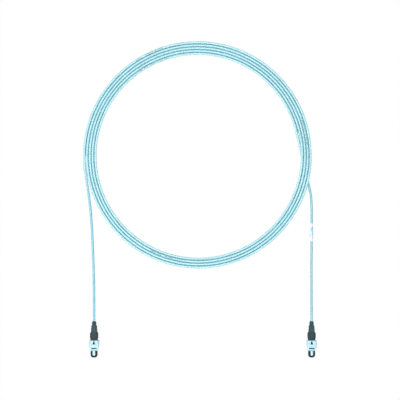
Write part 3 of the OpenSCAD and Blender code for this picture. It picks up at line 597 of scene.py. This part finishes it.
def make_finishes():
    return {
        "jacket": jacket_print(finish_of(
            "jacket_aqua", (0.42, 0.79, 0.87), 0.35, coat=1.0, mottle=0.05, mottle_scale=90,
            grain=0.02, grain_scale=2500, coat_ior=1.75, coat_rough=0.3)),
        "label": label_print(finish_of("label_film", (0.95, 0.98, 1.0), 0.4, mottle=0.02, grain=0.03)),
        "boot": finish_of("boot_rubber", (0.052, 0.093, 0.109), 0.4, mottle=0.12, grain=0.2,
                          grain_scale=5000, shine=0.08),
        "brass": finish_of("crimp_plating", (0.72, 0.60, 0.34), 0.3, metal=1.0, mottle=0.05),
        "black": finish_of("black_moulding", (0.051, 0.072, 0.079), 0.36, mottle=0.1, grain=0.15,
                           grain_scale=7000, shine=0.06),
        "rear": neck_painted_shade(finish_of("rear_body_moulding", (0.051, 0.072, 0.079), 0.36, mottle=0.1,
                                     grain=0.15, grain_scale=7000, shine=0.06)),
        "cap": finish_of("cap_moulding", (0.006, 0.027, 0.043), 0.3, mottle=0.1, grain=0.1,
                         shine=0.12),
        "aqua": finish_of("aqua_moulding", (0.48, 0.80, 0.90), 0.35, coat=0.3, mottle=0.03,
                          grain=0.06),
        "key": finish_of("key_moulding", (0.56, 0.84, 0.91), 0.3, coat=0.5, mottle=0.03, grain=0.06),
        "mark": finish_of("arrow_black", (0.010, 0.012, 0.014), 0.7, mottle=0.1, shine=0.1),
        "ferrule": finish_of("ferrule_moulding", (0.05, 0.055, 0.06), 0.35, mottle=0.2,
                             mottle_scale=2500, grain=0.1),
        "fibre": finish_of("fibre_coating", (0.30, 0.66, 0.72), 0.3, mottle=0.05),
        "glass": finish_of("fibre_tips", (0.75, 0.82, 0.84), 0.1, mottle=0.03),
        "steel": finish_of("spring_steel", (0.62, 0.63, 0.65), 0.28, metal=1.0, mottle=0.05,
                           mottle_scale=900),
    }


# ---- Cord ----


def wind_r(angle):
    return COIL_R - PITCH * angle / 360


def hump(distance):
    if abs(distance) >= HUMP_HALF:
        return 0
    return HUMP_H * math.cos(math.radians(90 * distance / HUMP_HALF)) ** 2


def coil_point(angle):
    """A point on the coil, which winds clockwise from its left side, seen from above."""
    r, a = wind_r(angle), math.radians(angle)
    rise = 0
    if 0 < angle <= 360 * TURNS:
        cross = math.degrees(math.acos(min(1, wind_r(WIND_END) / r))) - LEAVE_INNER
        rise = hump(math.radians(angle % 360 - 180 - cross) * r)
    return Vector((COIL_X - r * math.cos(a), COIL_Y + r * math.sin(a), CORD_R + rise))


def coil_way(angle):
    a = math.radians(angle)
    return Vector((math.sin(a), math.cos(a), 0))


def smooth_through(points, step):
    """Points a step apart on a smooth curve through the given ones."""
    made = []
    for i in range(len(points) - 1):
        p0, p1 = points[max(i - 1, 0)], points[i]
        p2, p3 = points[i + 1], points[min(i + 2, len(points) - 1)]
        pieces = max(1, round((p2 - p1).length / step))
        for k in range(pieces):
            t = k / pieces
            made.append(0.5 * (2 * p1 + (p2 - p0) * t + (2 * p0 - 5 * p1 + 4 * p2 - p3) * t ** 2
                               + (3 * p1 - p0 - 3 * p2 + p3) * t ** 3))
    return made + [points[-1]]


def cord_route():
    stub = 2 * CORD_R
    first, last = coil_point(-LEAVE_OUTER), coil_point(WIND_END)
    tail_a = [Vector(p) for p in reversed(TAIL_A)] + [first - 2 * stub * coil_way(-LEAVE_OUTER), first]
    coil = [coil_point(a) for a in range(-LEAVE_OUTER, WIND_END + 1)]
    run = [last + s * coil_way(WIND_END) for s in range(RUN_STEP, UNDER_RUN + 1, RUN_STEP)]
    tail_b = [last, *run] + [Vector(p) for p in TAIL_B]
    return smooth_through(tail_a, ROUTE_STEP)[:-1] + coil[:-1] + smooth_through(tail_b, ROUTE_STEP)


def tube_along(name, route, r, sides):
    """A closed tube along a route in millimetres, with a UV map: metres along, turns round it."""
    rings, run, lengths = [], 0, []
    for i, p in enumerate(route):
        way = (route[min(i + 1, len(route) - 1)] - route[max(i - 1, 0)]).normalized()
        side = way.cross(Vector((0, 0, 1)))
        side = side.normalized() if side.length > 0.01 else Vector((1, 0, 0))
        up = side.cross(way)
        rings.append([p + r * (math.cos(a) * side + math.sin(a) * up)
                      for a in (2 * math.pi * k / sides for k in range(sides))])
        if i:
            run += (p - route[i - 1]).length
        lengths.append(run * MM)
    points = [tuple(q * MM) for ring in rings for q in ring]
    faces, uvs = [], []
    for i in range(len(rings) - 1):
        for k in range(sides):
            j = (k + 1) % sides
            faces.append((i * sides + k, (i + 1) * sides + k, (i + 1) * sides + j, i * sides + j))
            uvs += [(lengths[i], k / sides), (lengths[i + 1], k / sides),
                    (lengths[i + 1], (k + 1) / sides), (lengths[i], (k + 1) / sides)]
    end = (len(rings) - 1) * sides
    faces.append(tuple(range(sides)))
    faces.append(tuple(end + k for k in reversed(range(sides))))
    uvs += [(0, 0)] * sides + [(lengths[-1], 0)] * sides
    piece = mesh_piece(name, points, faces)
    layer = piece.data.uv_layers.new(name="UVMap")
    for loop, uv in zip(layer.data, uvs):
        loop.uv = uv
    pick(piece)
    bpy.ops.object.mode_set(mode="EDIT")
    bpy.ops.mesh.select_all(action="SELECT")
    bpy.ops.mesh.normals_make_consistent(inside=False)
    bpy.ops.object.mode_set(mode="OBJECT")
    bpy.ops.object.shade_smooth_by_angle(angle=math.radians(50))
    return piece, run


def make_cord(finishes):
    route = cord_route()
    cord, length = tube_along("fibre_cord", route, CORD_R, CORD_SIDES)
    dress(cord, finishes["jacket"], "jacket", "cord", "cable_coil", "cable_tail_a", "cable_tail_b")
    return cord, route, length


# ---- Label ----


def make_label(finishes):
    ends = (LABEL_Y - LABEL_L / 2, LABEL_Y + LABEL_L / 2)
    label = rod("wrapped_label", LABEL_R, ends, LABEL_X, LABEL_Z, LABEL_SIDES)
    flag = block("flag", (LABEL_X - LABEL_R - FIN, LABEL_X - LABEL_R + FILM / 2), ends,
                 (LABEL_Z - FILM, LABEL_Z + FILM))
    add(label, flag)
    bore_ends = (ends[0] - 1, ends[1] + 1)
    cut(label, rod("bore", LABEL_BORE_R, bore_ends, LABEL_X, LABEL_Z, LABEL_SIDES))
    soften(label, 0.03, 1)
    return dress(label, finishes["label"], "label_film", "cord", "label")


# ---- Connector pieces, modelled about the connector's axis ----


def make_boot():
    """Turned in rings from its cable end to the rear body, cut to two flats, bored out."""
    rings = [(BOOT_END_Y, 2.1), (22.04, 2.2), (21.9, 2.28), (21.6, 2.36), (20.9, 2.5), (20.1, 2.66),
             (19.5, 2.79), (19.1, 2.85), (18.8, 2.87), (18.5, 2.83), (18.3, 2.74), (18.17, 2.6),
             (18.1, 2.42), (17.95, 2.3), (17.45, 2.3), (17.33, 2.4), (17.3, 2.55), (17.28, 3.0),
             (17.22, 3.18), (17.08, 3.32), (16.85, 3.42), (14.9, 3.56), (12.8, 3.73), (10.7, 3.89),
             (8.85, 4.03), (8.7, 4), (REAR_END_Y, 3.9)]
    drop_selection()
    bpy.ops.mesh.primitive_circle_add(
        vertices=64, radius=rings[0][1] * MM, fill_type="NGON",
        location=(0, rings[0][0] * MM, 0), rotation=(math.pi / 2, 0, 0))
    boot = bpy.context.object
    boot.name = "strain_relief_boot"
    settle(boot)
    bpy.ops.object.mode_set(mode="EDIT")
    bpy.ops.mesh.select_all(action="SELECT")
    for (y0, r0), (y1, r1) in zip(rings, rings[1:]):
        bpy.ops.mesh.extrude_region_move(
            TRANSFORM_OT_translate={"value": (0, (y1 - y0) * MM, 0)})
        if r1 != r0:
            bpy.ops.transform.resize(value=(r1 / r0, 1, r1 / r0), center_override=(0, y1 * MM, 0))
    bpy.ops.mesh.select_all(action="SELECT")
    bpy.ops.mesh.normals_make_consistent(inside=False)
    bpy.ops.object.mode_set(mode="OBJECT")
    for z in (BOOT_FLAT_H, -BOOT_FLAT_H):
        trim(boot, (0, 0, z), (0, 0, z))
    round_edges(boot, beside_a_flat, BOOT_FLAT_EDGE_R, 4)
    cut(boot,
        rod("cord_way", CORD_WAY_R, (7, 24)),
        rod("crimp_room", CRIMP_ROOM_R, (7, CRIMP_ROOM_END_Y)))
    return soften(boot)


def beside_a_flat(a, b):
    """Whether an edge runs along a side of one of the boot's flats."""
    low, high = BOOT_FLAT_EDGES_Y
    on_flat = all(abs(abs(end.z) - BOOT_FLAT_H) < 0.01 and low < end.y < high for end in (a, b))
    return on_flat and abs(a.y - b.y) > 0.1


def make_rear_body():
    """An eight-sided grip with a neck into the housing and a barbed spigot for the crimp ring."""
    body = block("rear_body_shell", both(REAR_W), (REAR_FRONT_Y, REAR_END_Y), both(REAR_H))
    for sx in (1, -1):
        for sz in (1, -1):
            trim(body, (REAR_FLAT_W * sx, 0, REAR_H * sz),
                 ((REAR_H - REAR_SIDE_H) * sx, 0, (REAR_W - REAR_FLAT_W) * sz))
        for slope in REAR_SLOPES:
            slant(body, 0, sx, *slope)
    soften(body, 0.22, 4)
    add(body, block("neck", both(NECK_W), (NECK_FRONT_Y, 1), both(NECK_H)),
        rod("spigot", SPIGOT_R, (8, JACKET_END_Y)))
    for sz in (1, -1):
        add(body, block("latch", both(LATCH_W), LATCH_Y, (sz * LATCH_FOOT_Z, sz * LATCH_TOP_Z)))
    for y in BARBS_Y:
        add(body, rod("barb", BARB_R, (y, y + BARB_L)))
    cut(body, block("chamber", both(CHAMBER_W), (-4, CHAMBER_END_Y), both(CHAMBER_H)),
        rod("bore", SPIGOT_BORE_R, (6, 15)))
    return soften(body)


def make_sleeve():
    """The sliding sleeve, with its windows, its thumb recess and the pocket of the arrow."""
    sleeve = block("coupling_sleeve_shell", both(SLEEVE_W), (SLEEVE_FRONT_Y, SLEEVE_REAR_Y),
                   both(SLEEVE_H))
    round_edges(sleeve, lambda a, b: abs(a.x - b.x) < 0.01 and abs(a.z - b.z) < 0.01,
                SLEEVE_CORNER, 8)
    for s in (1, -1):
        for axis, slopes in ((0, SLEEVE_SIDE_SLOPES), (2, SLEEVE_TOP_SLOPES)):
            for slope in slopes:
                slant(sleeve, axis, s, *slope)
    soften(sleeve, 0.2, 4, 18)
    cut(sleeve,
        block("room", both(ROOM_W), (ROOM_FRONT_Y, 0), both(ROOM_H)),
        block("front_room", both(FRONT_ROOM_W), (-15, -9), both(ROOM_H)))
    for s in (1, -1):
        cut(sleeve,
            rod("spring_channel", CHANNEL_R, CHANNEL_Y, CHANNEL_X * s, 0, 32),
            block("ear_way", (0, CHANNEL_X * s), CHANNEL_Y, both(EAR_WAY_H)))
    cut(sleeve, block("windows", both(WINDOW_W), WINDOW_Y, both(5)))
    recess = recess_shape("thumb_recess", RECESS_FLOOR_Z)
    trim(recess, (0, 1, 0), (0, 1, 0))
    groove = recess_shape("recess_groove", GROOVE_FLOOR_Z)
    cut(groove, post("recess_floor", GROOVE_INNER_R, (3, 7), 0, RECESS_CENTRE_Y, RECESS_SIDES))
    trim(groove, (0, 0, 0), (0, 1, 0))
    cut(sleeve, recess, groove, arrow_shape("arrow_pocket", ARROW_FLOOR_Z, 6, 0))
    for y in GRIP_LINES_Y:
        ends = (y - GRIP_LINE_L / 2, y + GRIP_LINE_L / 2)
        cut(sleeve, block("grip_line", both(GRIP_LINE_W), ends, (GRIP_LINE_FLOOR_Z, 6)))
    return soften(sleeve)


def recess_shape(name, floor_z):
    """A round cutter with its two sides cut straight."""
    recess = post(name, RECESS_R, (floor_z, 6), 0, RECESS_CENTRE_Y, RECESS_SIDES)
    for s in (1, -1):
        trim(recess, (RECESS_W * s, 0, 0), (s, 0, 0))
    return recess


def arrow_shape(name, z0, z1, slack):
    """A blunt triangle that points to the cord, smaller all round by a slack."""
    base, apex = ARROW_BASE_Y + slack, ARROW_TIP_Y - slack
    half, tip = ARROW_BASE_W - slack, ARROW_TIP_W - slack
    arrow = block(name, both(half), (base, apex), (z0, z1))
    for s in (1, -1):
        slant(arrow, 0, s, (half, base), (tip, apex))
    return arrow


def make_arrow():
    return soften(arrow_shape("arrow_inlay", ARROW_FLOOR_Z, ARROW_TOP_Z, 0.02), 0.03, 1)


def make_cap():
    """A cap with a round front, hollow over the nose, with a slot for the key."""
    cap = block("dust_cap_shell", both(CAP_W), (CAP_FRONT_Y, CAP_REAR_Y), both(CAP_H))
    round_edges(cap, front_corners(CAP_FRONT_Y), CAP_CORNER, 16)
    round_edges(cap, beside_cap_faces, CAP_EDGE_R, 6)
    room = block("nose_room", both(NOSE_ROOM_W), (NOSE_ROOM_FRONT_Y, -14), both(NOSE_ROOM_H))
    round_edges(room, front_corners(NOSE_ROOM_FRONT_Y), NOSE_ROOM_CORNER, 8)
    cut(cap, room,
        block("ferrule_room", both(FERRULE_ROOM_W), (FERRULE_ROOM_FRONT_Y, -19.5), both(FERRULE_ROOM_H)),
        post("key_slot_end", KEY_SLOT_R, (0, 5), 0, KEY_SLOT_Y),
        block("key_slot", both(KEY_SLOT_R), (KEY_SLOT_Y, -14), (0, 5)))
    return soften(cap, 0.08, 2)


def front_corners(front_y):
    """A choice of the upright edges at a block's front."""
    return lambda a, b: abs(a.z - b.z) > 1 and max(a.y, b.y) < front_y + 1


def beside_cap_faces(a, b):
    """Whether an edge lies round the cap's top or underside, and not at its open end."""
    on_face = min(abs(a.z), abs(b.z)) > CAP_H - 0.1 and a.z * b.z > 0
    return on_face and min(a.y, b.y) <= CAP_REAR_Y - 0.1


def softened_copy(node, name, width, segments=2):
    """A copy of a node's own shape with small rounded edges, back at the connector's axis."""
    pick(nodes[node])
    bpy.ops.object.duplicate()
    piece = bpy.context.object
    piece.name = name
    piece.data.name = name
    move_mesh(piece, SPACING / 2, 0, -AXIS_Z)
    return soften(piece, width, segments)


def make_fibre_tips():
    """The polished fibre ends in a row across the ferrule's face."""
    tips = None
    for i in range(FIBRES):
        tip = rod("fibre_tips", FIBRE_R, FIBRE_Y, (i - (FIBRES - 1) / 2) * FIBRE_PITCH, 0, 12)
        if tips is None:
            tips = tip
        else:
            pick(tips)
            tip.select_set(True)
            bpy.ops.object.join()
    pick(tips)
    bpy.ops.object.shade_smooth_by_angle(angle=math.radians(40))
    return tips


def make_spring(name, size, wire, curls, seats, x=0):
    """A wound wire between two seats."""
    (w, h), (y0, y1) = size, seats
    steps = CURL_STEPS * curls
    run = y1 - y0 - wire - 2 * SEAT_GAP
    route = []
    for i in range(steps + 1):
        t, a = i / steps, 2 * math.pi * curls * i / steps
        route.append(Vector((x + (w - wire) / 2 * math.cos(a), y0 + SEAT_GAP + wire / 2 + run * t,
                             (h - wire) / 2 * math.sin(a))))
    return tube_along(name, route, wire / 2, WIRE_SIDES)[0]


def place(piece, side, end):
    """A copy of a piece, with its own mesh, at one connector."""
    copy = piece.copy()
    copy.data = piece.data.copy()
    copy.name = f"{piece.name}_{end}"
    copy.data.name = copy.name
    bpy.context.scene.collection.objects.link(copy)
    move_mesh(copy, side * SPACING / 2, 0, AXIS_Z)
    return copy


def make_connectors(finishes):
    main_spring = make_spring("ferrule_spring", MAIN_SPRING_SIZE, MAIN_WIRE, MAIN_CURLS, MAIN_SEATS_Y)
    small_springs = [make_spring(f"sleeve_spring_{n}", SMALL_SPRING_SIZE, SMALL_WIRE, SMALL_CURLS,
                                 SMALL_SEATS_Y, x)
                     for n, x in (("left", -CHANNEL_X), ("right", CHANNEL_X))]
    shapes = [
        (make_boot(), "boot", "boot_rubber", "cord", "boot"),
        (make_rear_body(), "rear", "black_plastic", "cord", "rear_body"),
        (softened_copy("inner_housing_a", "housing_shell", 0.06), "black", "black_plastic", "cord",
         "inner_housing"),
        (softened_copy("key_insert_a", "key", 0.08), "key", "aqua_plastic", "cord", "key_insert"),
        (softened_copy("ferrule_a", "ferrule_block", 0.04), "ferrule", "ferrule_plastic",
         "ferrule_unit", "ferrule"),
        (make_fibre_tips(), "glass", "fibre_coating", "ferrule_unit", None),
        (make_sleeve(), "aqua", "aqua_plastic", "sleeve", "coupling_sleeve"),
        (make_arrow(), "mark", "black_plastic", "sleeve", None),
        (make_cap(), "cap", "cap_plastic", "cap", "dust_cap"),
    ]
    for side, end in ((-1, "a"), (1, "b")):
        for shape, finish, slot, body, node in shapes:
            copy = place(shape, side, end)
            rides = body if body == "cord" else f"{body}_{end}"
            dress(copy, finishes[finish], slot, rides, *([f"{node}_{end}"] if node else []))
        spring = place(main_spring, side, end)
        dress(spring, finishes["steel"], "spring_steel", "cord", f"main_spring_{end}")
        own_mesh(spring)
        for small in small_springs:
            spring = place(small, side, end)
            dress(spring, finishes["steel"], "spring_steel", "cord", f"sleeve_springs_{end}")
            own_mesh(spring)
        for node, finish in (("crimp_ring", "brass"), ("pin_keeper", "steel"),
                             ("ferrule_boot", "boot"), ("fibre_ribbon", "fibre")):
            kept = nodes[f"{node}_{end}"]
            kept.data.materials.clear()
            kept.data.materials.append(finishes[finish])
    for shape in [main_spring, *small_springs, *(s[0] for s in shapes)]:
        bpy.data.objects.remove(shape, do_unlink=True)


# ---- All together ----

drop_selection()
set_camera()
finishes = make_finishes()
cord, route, cord_length = make_cord(finishes)
label = make_label(finishes)
set_light()
set_floor()
make_connectors(finishes)
bpy.context.scene.view_settings.view_transform = "Standard"
bpy.context.view_layer.update()
